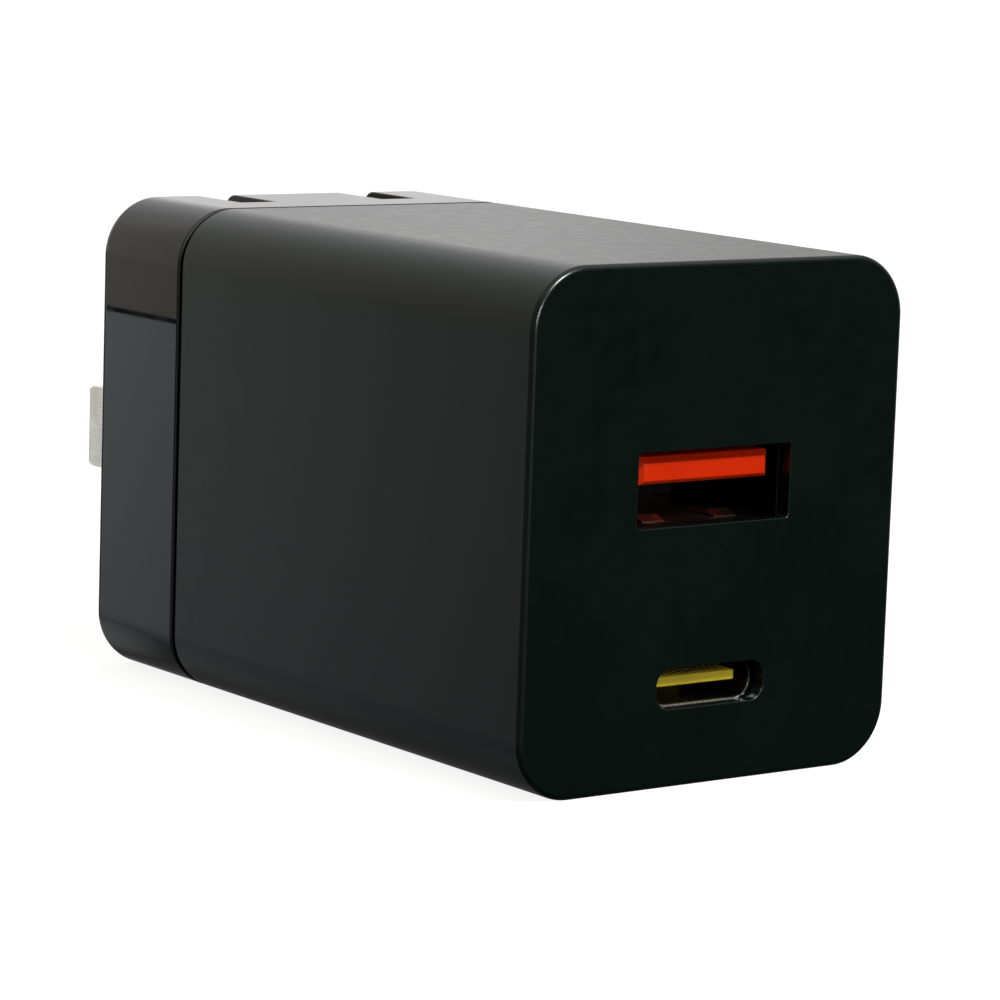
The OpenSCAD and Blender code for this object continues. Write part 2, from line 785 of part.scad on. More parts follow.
module sync_rectifier() {
    color([0.1, 0.1, 0.11])
        translate([-9.2, port_board_y, 0.5]) rotate([-90, 0, 0]) chip([5, 4.6, 1.1], 4, 0.45);
}

module controller_ic() {
    color([0.1, 0.1, 0.11])
        translate([-5, port_front_y, -4.8]) rotate([90, 0, 0]) chip([5, 4, 1.2], 4, 0.4);
}

// Chip capacitors beside the controller
module chip_parts() {
    size = [1.6, 0.8, 0.8];
    color([0.6, 0.45, 0.3])
        for (column = [0:2], row = [0:1])
            translate([1 + column * 2.6, port_front_y - size[1], -6.4 + row * 2.2]) cube(size);
}

// Plate that carries the transformer's heat to the right-hand wall
module heat_spreader() {
    sheet_t = 0.45;
    x = trafo_x + core_w / 2 + pad_t;
    color([0.75, 0.76, 0.78])
        block([x, port_board_y + 1.2, board_top_z + 1.3], [x + sheet_t, bulk_rear_y - 0.8, 3]);
}

module thermal_pad() {
    x = trafo_x + core_w / 2;
    color([0.45, 0.6, 0.75])
        block([x, trafo_y - core_d / 2, core_low_z + 0.4], [x + pad_t, trafo_y + core_d / 2, 1]);
}

// ---------------------------------------------------------------- output

housing_shell();
rear_cap();
rotor_retainer();
retainer_screws();
blade_rotor();
blade(-1);  // blade_left
blade(1);  // blade_right
blade_contact(-1);  // contact_left
blade_contact(1);  // contact_right
mains_lead(-1, [0.35, 0.2, 0.12]);  // live_lead
mains_lead(1, [0.15, 0.3, 0.65]);  // neutral_lead
main_board();
port_board();
insulation_sheet();
usb_a_shell();
usb_a_tongue();
usb_a_contacts();
usb_c_shell();
usb_c_tongue();
usb_c_contacts();
transformer_core_lower();
transformer_core_upper();
transformer_bobbin();
transformer_winding();
transformer_tape();
bulk_capacitor(-1);  // bulk_capacitor_left
bulk_capacitor(0);  // bulk_capacitor_middle
bulk_capacitor(1);  // bulk_capacitor_right
output_capacitor();
x_capacitor();
y_capacitor();
choke_core();
choke_winding();
fuse();
bridge_rectifier();
power_switch();
sync_rectifier();
controller_ic();
chip_parts();
heat_spreader();
thermal_pad();
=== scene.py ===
"""Looks of a wall charger with two output sockets and folding mains blades, around its CAD frame."""

import json
import math

import bmesh
import bpy
from mathutils import Matrix, Vector


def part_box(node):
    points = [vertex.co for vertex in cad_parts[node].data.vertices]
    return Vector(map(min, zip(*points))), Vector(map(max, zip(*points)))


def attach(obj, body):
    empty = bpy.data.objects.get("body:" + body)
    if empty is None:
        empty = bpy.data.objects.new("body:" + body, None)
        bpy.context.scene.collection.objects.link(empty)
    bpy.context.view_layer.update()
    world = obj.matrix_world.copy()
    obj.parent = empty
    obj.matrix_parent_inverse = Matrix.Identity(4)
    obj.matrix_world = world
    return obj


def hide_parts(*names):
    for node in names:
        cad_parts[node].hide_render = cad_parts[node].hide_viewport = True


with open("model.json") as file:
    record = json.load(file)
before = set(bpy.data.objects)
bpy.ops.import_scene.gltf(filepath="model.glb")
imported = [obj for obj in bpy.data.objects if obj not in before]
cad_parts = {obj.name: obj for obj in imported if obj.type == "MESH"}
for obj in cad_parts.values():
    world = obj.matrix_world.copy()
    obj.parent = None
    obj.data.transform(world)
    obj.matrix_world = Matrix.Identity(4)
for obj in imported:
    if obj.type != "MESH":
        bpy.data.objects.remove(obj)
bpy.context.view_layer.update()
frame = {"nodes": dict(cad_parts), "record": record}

# ---------------------------------------------------------------- sizes, in metres

HOUSING_LOW, HOUSING_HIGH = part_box("housing_shell")
CAP_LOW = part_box("rear_cap")[0]
SOCKET_A_LOW, SOCKET_A_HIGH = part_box("usb_a_shell")
SOCKET_C_LOW, SOCKET_C_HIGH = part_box("usb_c_shell")
BLADE_LOW, BLADE_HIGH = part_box("blade_right")
ROTOR_LOW, ROTOR_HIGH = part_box("blade_rotor")
PLATE_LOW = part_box("rotor_retainer")[0]
BOARD_LOW, BOARD_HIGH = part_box("main_board")
PORT_BOARD_LOW, PORT_BOARD_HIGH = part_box("port_board")

# The casing
BODY_W = HOUSING_HIGH.x - HOUSING_LOW.x
BODY_H = HOUSING_HIGH.z - HOUSING_LOW.z
FRONT_Y = HOUSING_LOW.y
HOUSING_REAR_Y = HOUSING_HIGH.y
CORNER_R = 0.0043
CORNER_STEPS = 24
WALL = 0.0018
FRONT_WALL = 0.0016
CAVITY_R = 0.0025
FRONT_EDGE_R = 0.0004
FRONT_EDGE_STEPS = 6
SEAM_EDGE_R = 0.00015
SEAM_EDGE_STEPS = 4
REAR_EDGE_R = 0.0012
REAR_EDGE_STEPS = 12
GROOVE_W = 0.0005
GROOVE_DEPTH = 0.0006
CAP_FRONT_Y = HOUSING_REAR_Y + GROOVE_W
SPIGOT_GAP = 0.00005
SPIGOT_T = 0.0012
SPIGOT_MOUTH_R = 0.0016
RIB_X = 0.0086  # inner side of each rib under the main board
RIB_W = 0.001
RAIL_W = 0.0007  # the two rails on each side that hold the board behind the sockets
RAIL_T = 0.00065
RAIL_HALF_H = 0.009
RAIL_GAP = 0.0001

# The openings in the front wall, and the pocket behind each, where the wall is thinned for its socket
POCKET_GAP = 0.00015
POCKET_FRONT_GAP = 0.00005
POCKET_Y = SOCKET_A_LOW.y - POCKET_FRONT_GAP
POCKET_A_W = SOCKET_A_HIGH.x - SOCKET_A_LOW.x + 2 * POCKET_GAP
POCKET_A_H = SOCKET_A_HIGH.z - SOCKET_A_LOW.z + 2 * POCKET_GAP
POCKET_C_W = SOCKET_C_HIGH.x - SOCKET_C_LOW.x + 2 * POCKET_GAP
POCKET_C_H = SOCKET_C_HIGH.z - SOCKET_C_LOW.z + 2 * POCKET_GAP
HALF_FLAT = 0.00001  # the round ends of the smaller pocket keep a flat twice as long
# Middle of each opening, and the width, height and corner radius of the opening and of its pocket
PORT_A = {
    "x": (SOCKET_A_LOW.x + SOCKET_A_HIGH.x) / 2,
    "z": (SOCKET_A_LOW.z + SOCKET_A_HIGH.z) / 2,
    "opening": (0.013, 0.0051, 0.0003),
    "pocket": (POCKET_A_W, POCKET_A_H, 0.0003),
}
PORT_C = {
    "x": (SOCKET_C_LOW.x + SOCKET_C_HIGH.x) / 2,
    "z": (SOCKET_C_LOW.z + SOCKET_C_HIGH.z) / 2,
    "opening": (0.00915, 0.00275, 0.0011),
    "pocket": (POCKET_C_W, POCKET_C_H, POCKET_C_H / 2 - HALF_FLAT),
}
PORT_STEPS = 10
PORT_EDGE_R = 0.00008
PORT_EDGE_STEPS = 3

# The sockets' metal shells
SHELL_T = 0.0003
SOCKET_A_DEPTH = 0.0124  # how far a plug goes into the larger socket, from the front face
FINGERS_HALF = 0.0042  # from the larger socket's middle to the outer sides of its sprung fingers
FINGERS_RISE = 0.0005  # above the shell's floor, and behind its front rim
# Half the width of the painted highlight along the smaller socket's lower front rim
RIM_HIGHLIGHT_HALF = 0.0034

# The blades, their bearing, and the slot and well for each in the cap
BLADE_X = (BLADE_LOW.x + BLADE_HIGH.x) / 2
PIVOT_Y = (ROTOR_LOW.y + ROTOR_HIGH.y) / 2
PIVOT_Z = (ROTOR_LOW.z + ROTOR_HIGH.z) / 2
TAIL_REACH = PIVOT_Y - BLADE_LOW.y
TAIL_W = 0.003
TAIL_GAP = 0.0006  # around the end of the tail as it turns
SHAFT_R = 0.0015
BEARING_GAP = 0.00005
SLOT_W = 0.003
SLOT_DEPTH = 0.007
SLOT_GAP = 0.00028  # under the blade
SLOT_LOW_Z = BLADE_LOW.z - SLOT_GAP
SLOT_EDGE_R = 0.00015
SLOT_EDGE_STEPS = 3
WELL_WALL = 0.0012
WELL_FLOOR = 0.0008
WELL_DROP = 0.0047
WELL_LOW_Z = PIVOT_Z - WELL_DROP

# The bosses for the screws that hold the plate behind the rotor
PLATE_T = 0.0012
BOSS_X = 0.0109
BOSS_ZS = (-0.0116, 0.011)
BOSS_R = 0.0017
PILOT_R = 0.0009
PILOT_END_Y = -0.003

# What the mesh tools work with
REACH = 0.0001  # how far a tool runs past the face it opens, or into the wall it joins
BAR_STEPS = 48
SAME_POINT = 1e-6  # vertices of a CAD node closer than this are one
SLIVER = 2e-7  # vertices closer than this are one, after a bevel
ON_SKIN = 2e-6  # how far a point that lies on the cap's skin may be from it
EDGE_R = 0.00005  # rounding of a CAD node's edges, except for these
EDGE_RS = {
    "blade_left": 0.00015,
    "blade_right": 0.00015,
    "blade_rotor": 0.0001,
    "usb_c_shell": 0.0001,
}
SMOOTH_LIMIT = math.radians(32)  # faces at a greater angle than this meet in a sharp edge
FLAT_LIMIT = math.radians(0.2)

# ---------------------------------------------------------------- mesh tools


def add_object(name, mesh):
    piece = bpy.data.objects.new(name, mesh)
    bpy.context.scene.collection.objects.link(piece)
    return piece


def round_outline(w, h, r, steps=CORNER_STEPS):
    """Points (x, z) round a rectangle with round corners."""
    points = []
    for quarter, (side_x, side_z) in enumerate(((1, 1), (-1, 1), (-1, -1), (1, -1))):
        for i in range(steps + 1):
            turn = math.pi / 2 * (quarter + i / steps)
            x = side_x * (w / 2 - r) + r * math.cos(turn)
            z = side_z * (h / 2 - r) + r * math.sin(turn)
            points.append((x, z))
    return points


def body_outline(inset=0.0, r=None):
    """Outline of the body's cross-section, moved inwards."""
    return round_outline(BODY_W - 2 * inset, BODY_H - 2 * inset, r or CORNER_R - inset)


def quarter_round(r, steps):
    """Points over a rounded edge as (inset, drop), from the side face to the end face."""
    turns = [math.pi / 2 * i / steps for i in range(steps + 1)]
    return [(r * (1 - math.cos(t)), r * (1 - math.sin(t))) for t in turns]


def add_ring(bm, outline, y, x0=0.0, z0=0.0):
    """Vertices at the outline's points, at that y."""
    return [bm.verts.new((x0 + x, y, z0 + z)) for x, z in outline]


def bridge(bm, rings):
    """Faces from each ring to the next."""
    for ring_a, ring_b in zip(rings, rings[1:]):
        for i in range(len(ring_a)):
            bm.faces.new((ring_a[i - 1], ring_a[i], ring_b[i], ring_b[i - 1]))


def fill_between(bm, *rings):
    """Flat face between an outer ring and the rings inside it."""
    edges = []
    for ring in rings:
        for i in range(len(ring)):
            pair = (ring[i - 1], ring[i])
            edges.append(bm.edges.get(pair) or bm.edges.new(pair))
    bmesh.ops.triangle_fill(bm, use_beauty=True, edges=edges, normal=(0, -1, 0))


def finish_mesh(bm, name):
    bmesh.ops.recalc_face_normals(bm, faces=bm.faces)
    mesh = bpy.data.meshes.new(name)
    bm.to_mesh(mesh)
    bm.free()
    return mesh


def closed_loft(name, sections):
    """Solid through sections, each (outline, y), with flat ends."""
    bm = bmesh.new()
    rings = [add_ring(bm, outline, y) for outline, y in sections]
    bridge(bm, rings)
    bm.faces.new(rings[0])
    bm.faces.new(rings[-1])
    return add_object(name, finish_mesh(bm, name))


def block(low, high):
    """Box between two corners, as a tool."""
    low, high = Vector(low), Vector(high)
    bm = bmesh.new()
    bmesh.ops.create_cube(bm, size=1)
    for v in bm.verts:
        v.co = (low + high) / 2 + Vector(c * s for c, s in zip(v.co, high - low))
    return add_object("tool", finish_mesh(bm, "tool"))


def bar(start, end, r):
    """Round bar from start to end, as a tool."""
    start, end = Vector(start), Vector(end)
    turn = (end - start).to_track_quat("Z", "Y").to_matrix().to_4x4()
    place = Matrix.Translation((start + end) / 2) @ turn
    size = {"radius1": r, "radius2": r, "depth": (end - start).length}
    bm = bmesh.new()
    bmesh.ops.create_cone(bm, cap_ends=True, segments=BAR_STEPS, matrix=place, **size)
    return add_object("tool", finish_mesh(bm, "tool"))


def bake_modifiers(piece):
    """Gives the piece the mesh that its modifiers make."""
    bpy.context.view_layer.update()
    graph = bpy.context.evaluated_depsgraph_get()
    shaped = bpy.data.meshes.new_from_object(piece.evaluated_get(graph))
    piece.modifiers.clear()
    piece.data = shaped


def combine(piece, tools, operation):
    """Joins the tools to the piece (UNION) or cuts them out of it (DIFFERENCE)."""
    for tool in tools:
        mod = piece.modifiers.new("tool", "BOOLEAN")
        mod.operation = operation
        mod.solver = "EXACT"
        mod.object = tool
    bake_modifiers(piece)
    for tool in tools:
        bpy.data.objects.remove(tool)


def shade_smooth_with_flats(piece):
    """Smooth shading that keeps flat and straight walls even up to the rounded edges beside them.

    A flat wall is square to an axis. A straight wall runs along Y, as the casing's round corners do.
    """
    mesh = piece.data
    mesh.shade_smooth()
    mesh.set_sharp_from_angle(angle=SMOOTH_LIMIT)
    straight = set()
    flats = [set() for _ in mesh.vertices]
    for face in mesh.polygons:
        if abs(face.normal.y) < math.sin(FLAT_LIMIT):
            straight.update(face.vertices)
        axis = tuple(float(round(part)) for part in face.normal)
        if (face.normal - Vector(axis)).length < FLAT_LIMIT:
            for corner in face.vertices:
                flats[corner].add(axis)
    normals = [corner.vector.copy() for corner in mesh.corner_normals]
    for face in mesh.polygons:
        for loop, corner in zip(face.loop_indices, face.vertices):
            if corner in straight and abs(face.normal.y) < math.sin(SMOOTH_LIMIT):
                normals[loop].y = 0
                normals[loop].normalize()
            for axis in flats[corner]:
                if face.normal.dot(Vector(axis)) > math.cos(SMOOTH_LIMIT):
                    normals[loop] = Vector(axis)
    mesh.normals_split_custom_set(normals)


def weld(piece, distance):
    """Makes vertices closer than that into one."""
    mod = piece.modifiers.new("weld", "WELD")
    mod.merge_threshold = distance


def soften_edges(piece, width):
    """Rounds a CAD node's edges with modifiers, which leave its own mesh as it is."""
    weld(piece, SAME_POINT)
    planar = piece.modifiers.new("planar", "DECIMATE")
    planar.decimate_type = "DISSOLVE"
    planar.angle_limit = math.radians(0.5)
    bevel = piece.modifiers.new("edges", "BEVEL")
    bevel.width = width
    bevel.segments = 2
    bevel.limit_method = "ANGLE"
    bevel.angle_limit = math.radians(35)
    weld(piece, SLIVER)
    flats = piece.modifiers.new("flat faces", "WEIGHTED_NORMAL")
    flats.weight = 90
    flats.keep_sharp = True


# ---------------------------------------------------------------- casing


def port_rings(bm, port):
    """Rings of one opening: its rounded edge in the front face, its wall, and the pocket behind it."""
    w, h, r = port["opening"]
    sections = [
        (round_outline(w + 2 * grow, h + 2 * grow, r + grow, PORT_STEPS), FRONT_Y + drop)
        for grow, drop in reversed(quarter_round(PORT_EDGE_R, PORT_EDGE_STEPS))
    ]
    sections.append((round_outline(w, h, r, PORT_STEPS), POCKET_Y))
    pocket = round_outline(*port["pocket"], PORT_STEPS)
    sections += [(pocket, POCKET_Y), (pocket, FRONT_Y + FRONT_WALL)]
    return [add_ring(bm, outline, y, port["x"], port["z"]) for outline, y in sections]


def make_housing():
    """The open box with its front wall, and the ribs and rails that hold its two boards."""
    bm = bmesh.new()
    rim = reversed(quarter_round(SEAM_EDGE_R, SEAM_EDGE_STEPS))
    skin = [add_ring(bm, body_outline(inset), HOUSING_REAR_Y - drop) for inset, drop in rim]
    edge = quarter_round(FRONT_EDGE_R, FRONT_EDGE_STEPS)
    skin += [add_ring(bm, body_outline(inset), FRONT_Y + drop) for inset, drop in edge]
    cavity = [add_ring(bm, body_outline(WALL, CAVITY_R), y) for y in (FRONT_Y + FRONT_WALL, HOUSING_REAR_Y)]
    bridge(bm, skin)
    bridge(bm, cavity + skin[:1])
    ports = [port_rings(bm, port) for port in (PORT_A, PORT_C)]
    for rings in ports:
        bridge(bm, rings)
    fill_between(bm, skin[-1], *[rings[0] for rings in ports])
    fill_between(bm, cavity[0], *[rings[-1] for rings in ports])
    housing = add_object("housing", finish_mesh(bm, "housing"))
    combine(housing, board_holders(), "UNION")
    shade_smooth_with_flats(housing)
    return housing


def board_holders():
    """On each side, a rib under the main board and two rails for the board behind the sockets."""
    cavity_x = BODY_W / 2 - WALL
    cavity_z = BODY_H / 2 - WALL
    holders = []
    for side in (-1, 1):
        xs = sorted((side * RIB_X, side * (RIB_X + RIB_W)))
        low = (xs[0], BOARD_LOW.y, -cavity_z - REACH)
        holders.append(block(low, (xs[1], BOARD_HIGH.y, BOARD_LOW.z)))
        for y in (PORT_BOARD_LOW.y - RAIL_GAP - RAIL_W, PORT_BOARD_HIGH.y + RAIL_GAP):
            xs = sorted((side * (cavity_x - RAIL_T), side * (cavity_x + REACH)))
            holders.append(block((xs[0], y, -RAIL_HALF_H), (xs[1], y + RAIL_W, RAIL_HALF_H)))
    return holders


def cap_solid():
    """The cap's outer shape: spigot, bottom of the groove, outer wall and rounded rear edge."""
    spigot = body_outline(WALL + SPIGOT_GAP, CAVITY_R)
    neck = body_outline(GROOVE_DEPTH)
    sections = [(spigot, CAP_LOW.y), (spigot, HOUSING_REAR_Y), (neck, HOUSING_REAR_Y), (neck, CAP_FRONT_Y)]
    for inset, drop in reversed(quarter_round(SEAM_EDGE_R, SEAM_EDGE_STEPS)):
        sections.append((body_outline(inset), CAP_FRONT_Y + drop))
    for inset, drop in quarter_round(REAR_EDGE_R, REAR_EDGE_STEPS):
        sections.append((body_outline(inset), -drop))
    return closed_loft("cap", sections)


def cap_hollow():
    """What is cut out of the cap: the opening in its spigot, and the wider room behind."""
    mouth = body_outline(WALL + SPIGOT_GAP + SPIGOT_T, SPIGOT_MOUTH_R)
    room = body_outline(WALL, CAVITY_R)
    sections = [(mouth, CAP_LOW.y - REACH), (mouth, CAP_FRONT_Y), (room, CAP_FRONT_Y), (room, -WALL)]
    return closed_loft("tool", sections)


def blade_well_tools(side):
    """What is cut away for one blade: its slot, and the sweep of its tail inside the rear wall."""
    x0, x1 = side * BLADE_X - SLOT_W / 2, side * BLADE_X + SLOT_W / 2
    slot = block((x0, -SLOT_DEPTH, SLOT_LOW_Z), (x1, REACH, BODY_H / 2 + REACH))
    sweep = block(
        (x0, -SLOT_DEPTH - WELL_FLOOR - REACH, PIVOT_Z - TAIL_REACH - TAIL_GAP),
        (x1, -WALL, PIVOT_Z + TAIL_W / 2 + BEARING_GAP),
    )
    return [slot, sweep]


def make_cap():
    """The hollow cap with two blade wells, saddles for the rotor's shaft, and four screw bosses."""
    cap = cap_solid()
    combine(cap, [cap_hollow()], "DIFFERENCE")
    wells, cuts = [], []
    plate_y = PLATE_LOW.y + PLATE_T
    saddle_r = SHAFT_R + BEARING_GAP
    half_shaft = ROTOR_HIGH.x + REACH
    for side in (-1, 1):
        x0, x1 = side * BLADE_X - SLOT_W / 2 - WELL_WALL, side * BLADE_X + SLOT_W / 2 + WELL_WALL
        low = (x0, -SLOT_DEPTH - WELL_FLOOR, WELL_LOW_Z)
        wells.append(block(low, (x1, REACH - WALL, BODY_H / 2 - WALL + REACH)))
        cuts += blade_well_tools(side)
        for z in BOSS_ZS:
            x = side * BOSS_X
            wells.append(bar((x, plate_y, z), (x, REACH - WALL, z), BOSS_R))
            cuts.append(bar((x, plate_y - REACH, z), (x, PILOT_END_Y, z), PILOT_R))
    cuts.append(bar((-half_shaft, PIVOT_Y, PIVOT_Z), (half_shaft, PIVOT_Y, PIVOT_Z), saddle_r))
    low = (-half_shaft, -SLOT_DEPTH - WELL_FLOOR - REACH, PIVOT_Z - saddle_r)
    cuts.append(block(low, (half_shaft, PIVOT_Y, PIVOT_Z + saddle_r)))
    combine(cap, wells, "UNION")
    combine(cap, cuts, "DIFFERENCE")
    round_slot_mouths(cap)
    shade_smooth_with_flats(cap)
    return cap


def on_cap_skin(point):
    """Whether a point near the slots lies on the cap's rear face, its top face or the rounding between."""
    top = BODY_H / 2
    if abs(point.y) < ON_SKIN or abs(point.z - top) < ON_SKIN:
        return True
    reach = math.hypot(point.y + REAR_EDGE_R, point.z - top + REAR_EDGE_R)
    chord_error = REAR_EDGE_R * 0.02
    return point.y > -REAR_EDGE_R and abs(reach - REAR_EDGE_R) < chord_error


def round_slot_mouths(cap):
    """Rounds the edges where the two blade slots open in the cap's skin."""
    bm = bmesh.new()
    bm.from_mesh(cap.data)
    weight = bm.edges.layers.float.new("bevel_weight_edge")
    sharp = math.radians(40)
    for edge in bm.edges:
        ends = [v.co for v in edge.verts]
        inside = all(abs(abs(p.x) - BLADE_X) < SLOT_W / 2 + REACH for p in ends)
        if inside and all(on_cap_skin(p) for p in ends) and edge.calc_face_angle(0) > sharp:
            edge[weight] = 1
    bm.to_mesh(cap.data)
    bm.free()
    bevel = cap.modifiers.new("slot mouths", "BEVEL")
    bevel.width = SLOT_EDGE_R
    bevel.segments = SLOT_EDGE_STEPS
    bevel.limit_method = "WEIGHT"
    bevel.use_clamp_overlap = False
    weld(cap, SLIVER)
    bake_modifiers(cap)


# ---------------------------------------------------------------- material tools

# Sizes of the features in the surfaces, in metres
COLOR_DRIFT = 0.006
CASING_DRIFT = 0.008
GLOSS_DRIFT = 0.002
TARNISH = 0.0015
STREAK_W = 0.00008
STREAK_DEPTH = 0.000001
DRAWN_INWARDS = (1, 15, 1)  # streaks along Y, as long as that many widths


def combine_values(tree, operation, a, b):
    """Math node on two values."""
    node = tree.nodes.new("ShaderNodeMath")
    node.operation = operation
    tree.links.new(a, node.inputs[0])
    tree.links.new(b, node.inputs[1])
    return node.outputs["Value"]


def multiply(tree, a, b):
    return combine_values(tree, "MULTIPLY", a, b)


def add_ramp(tree, factor, stops):
    """Colour ramp with those stops, each (place from 0 to 1, colour)."""
    node = tree.nodes.new("ShaderNodeValToRGB")
    for i, (at, color) in enumerate(stops):
        stop = node.color_ramp.elements[i] if i < 2 else node.color_ramp.elements.new(at)
        stop.position = at
        stop.color = (*color, 1)
    tree.links.new(factor, node.inputs["Fac"])
    return node.outputs["Color"]


class Surface:
    """A material under construction: one shader, and textures placed in the piece's own coordinates."""

    def __init__(self, name, color, roughness, metallic=0.0):
        self.material = bpy.data.materials.new(name)
        self.material.use_nodes = True
        self.tree = self.material.node_tree
        self.shader = self.tree.nodes["Principled BSDF"]
        self.shader.inputs["Base Color"].default_value = (*color, 1)
        self.shader.inputs["Roughness"].default_value = roughness
        self.shader.inputs["Metallic"].default_value = metallic
        self.place = self.tree.nodes.new("ShaderNodeTexCoord").outputs["Object"]

    def set(self, **values):
        """Sets the shader's own sockets, such as coat_weight=0.3."""
        for name, value in values.items():
            self.shader.inputs[name.replace("_", " ").title().replace("Ior", "IOR")].default_value = value
        return self

    def noise(self, grain, detail=2.0, stretch=(1, 1, 1), roughness=0.5):
        """Noise with features of that size in metres, drawn out along an axis by its stretch."""
        mapping = self.tree.nodes.new("ShaderNodeMapping")
        mapping.inputs["Scale"].default_value = [1 / (grain * s) for s in stretch]
        self.tree.links.new(self.place, mapping.inputs["Vector"])
        node = self.tree.nodes.new("ShaderNodeTexNoise")
        node.inputs["Scale"].default_value = 1.0
        node.inputs["Detail"].default_value = detail
        node.inputs["Roughness"].default_value = roughness
        self.tree.links.new(mapping.outputs["Vector"], node.inputs["Vector"])
        return node.outputs["Fac"]

    def bands(self, axis, pitch):
        """Waves along an axis, each that long in metres."""
        node = self.tree.nodes.new("ShaderNodeTexWave")
        node.bands_direction = axis
        node.inputs["Scale"].default_value = 2 * math.pi / (20 * pitch)
        self.tree.links.new(self.place, node.inputs["Vector"])
        return node.outputs["Fac"]

    def vary_color(self, factor, low, high, spread=0.15):
        """Goes from one colour to the other as the factor goes through its middle."""
        stops = [(0.5 - spread, low), (0.5 + spread, high)]
        self.tree.links.new(add_ramp(self.tree, factor, stops), self.shader.inputs["Base Color"])
        return self

    def vary_roughness(self, factor, low, high):
        """Goes from one roughness to the other as the factor goes through its middle."""
        node = self.tree.nodes.new("ShaderNodeMapRange")
        node.inputs["From Min"].default_value = 0.3
        node.inputs["From Max"].default_value = 0.7
        node.inputs["To Min"].default_value = low
        node.inputs["To Max"].default_value = high
        self.tree.links.new(factor, node.inputs["Value"])
        self.tree.links.new(node.outputs["Result"], self.shader.inputs["Roughness"])
        return self

    def within(self, low, high):
        """1 inside the box between two corners of the piece's own coordinates, and 0 outside."""
        split = self.tree.nodes.new("ShaderNodeSeparateXYZ")
        self.tree.links.new(self.place, split.inputs["Vector"])
        factor = None
        for axis, start, end in zip("XYZ", low, high):
            node = self.tree.nodes.new("ShaderNodeMath")
            node.operation = "COMPARE"
            node.inputs[1].default_value = (start + end) / 2
            node.inputs[2].default_value = (end - start) / 2
            self.tree.links.new(split.outputs[axis], node.inputs[0])
            inside = node.outputs["Value"]
            factor = multiply(self.tree, factor, inside) if factor else inside
        return factor

    def change_there(self, name, factor, value):
        """Changes what reaches one of the shader's sockets to that value where the factor is 1."""
        socket = self.shader.inputs[name]
        node = self.tree.nodes.new("ShaderNodeMix")
        node.data_type = "RGBA" if socket.type == "RGBA" else "FLOAT"
        node.inputs["B"].default_value = value
        self.tree.links.new(factor, node.inputs["Factor"])
        self.tree.links.new(socket.links[0].from_socket, node.inputs["A"])
        self.tree.links.new(node.outputs["Result"], socket)
        return self

    def relief(self, factor, depth):
        """Bumps that deep in metres."""
        node = self.tree.nodes.new("ShaderNodeBump")
        node.inputs["Distance"].default_value = depth
        self.tree.links.new(factor, node.inputs["Height"])
        self.tree.links.new(node.outputs["Normal"], self.shader.inputs["Normal"])
        return self


def shade(color, factor):
    """The colour, that much lighter or darker."""
    return tuple(c * factor for c in color)


def moulded(name, color, roughness, grain=0.0003, depth=0.000004):
    """Moulded plastic: a fine surface texture, and gloss and colour that drift a little."""
    surface = Surface(name, color, roughness)
    surface.vary_color(surface.noise(COLOR_DRIFT), shade(color, 0.85), shade(color, 1.15))
    surface.vary_roughness(surface.noise(GLOSS_DRIFT, detail=4), roughness * 0.92, roughness * 1.08)
    surface.relief(surface.noise(grain, detail=3), depth)
    return surface.material


def plated(name, color, roughness, brushed_along=(1, 1, 1)):
    """Plated or rolled metal, with streaks along the direction that it was brushed."""
    surface = Surface(name, color, roughness, metallic=1)
    surface.vary_color(surface.noise(TARNISH, detail=4), shade(color, 0.88), shade(color, 1.06))
    streaks = surface.noise(STREAK_W, detail=3, stretch=brushed_along)
    surface.vary_roughness(streaks, roughness * 0.8, roughness * 1.25)
    surface.relief(streaks, STREAK_DEPTH)
    return surface.material


# ---------------------------------------------------------------- materials, by the record's slot names

HOUSING_COLOR = (0.0013, 0.0041, 0.0031)
HOUSING_TINT = (0.91, 1.0, 0.96, 1)
CAP_COLOR = (0.0030, 0.0045, 0.0045)
BLACK_PLATING = (0.009, 0.009, 0.009)
# Pinkish colour painted on the larger socket's sprung fingers: a painted glint, standing in for their
# reflection of the orange tongue
FINGER_GLINT_PAINT = (0.65, 0.45, 0.41, 1)
DULL_NICKEL = (0.11, 0.11, 0.108)
# Pale colour painted along the smaller socket's lower front rim: a painted highlight
RIM_HIGHLIGHT_PAINT = (0.92, 0.91, 0.88, 1)
ORANGE = (0.52, 0.019, 0.0002)
# Black painted on the back of the larger socket's insulator: painted shade deep in the socket
SOCKET_SHADE_PAINT = (0.01, 0.008, 0.008, 1)
MUSTARD = (0.62, 0.48, 0.033)
SOLDER_MASK = (0.02, 0.16, 0.07)


def textured_housing():
    """Charcoal with a fine spark-eroded texture."""
    color = HOUSING_COLOR
    surface = Surface("housing plastic", color, 0.25).set(specular_tint=HOUSING_TINT)
    surface.vary_color(surface.noise(CASING_DRIFT, detail=3), shade(color, 0.88), shade(color, 1.12))
    surface.vary_roughness(surface.noise(0.0012, detail=5), 0.23, 0.27)
    surface.relief(surface.noise(0.00022, detail=4, roughness=0.6), 0.000005)
    return surface.material


def glossy_cap():
    """Charcoal polished to a gloss, with a moulding's slight waviness, and matte inside the joint."""
    color = CAP_COLOR
    surface = Surface("cap plastic", color, 0.015)
    surface.vary_color(surface.noise(CASING_DRIFT, detail=3), shade(color, 0.92), shade(color, 1.08))
    surface.vary_roughness(surface.noise(0.003, detail=5), 0.008, 0.025)
    joint_end_y = CAP_FRONT_Y + REACH / 2
    in_joint = surface.within((-BODY_W, CAP_LOW.y - REACH, -BODY_H), (BODY_W, joint_end_y, BODY_H))
    surface.change_there("Roughness", in_joint, 0.6)
    surface.relief(surface.noise(0.009, detail=1), 0.0000004)
    return surface.material


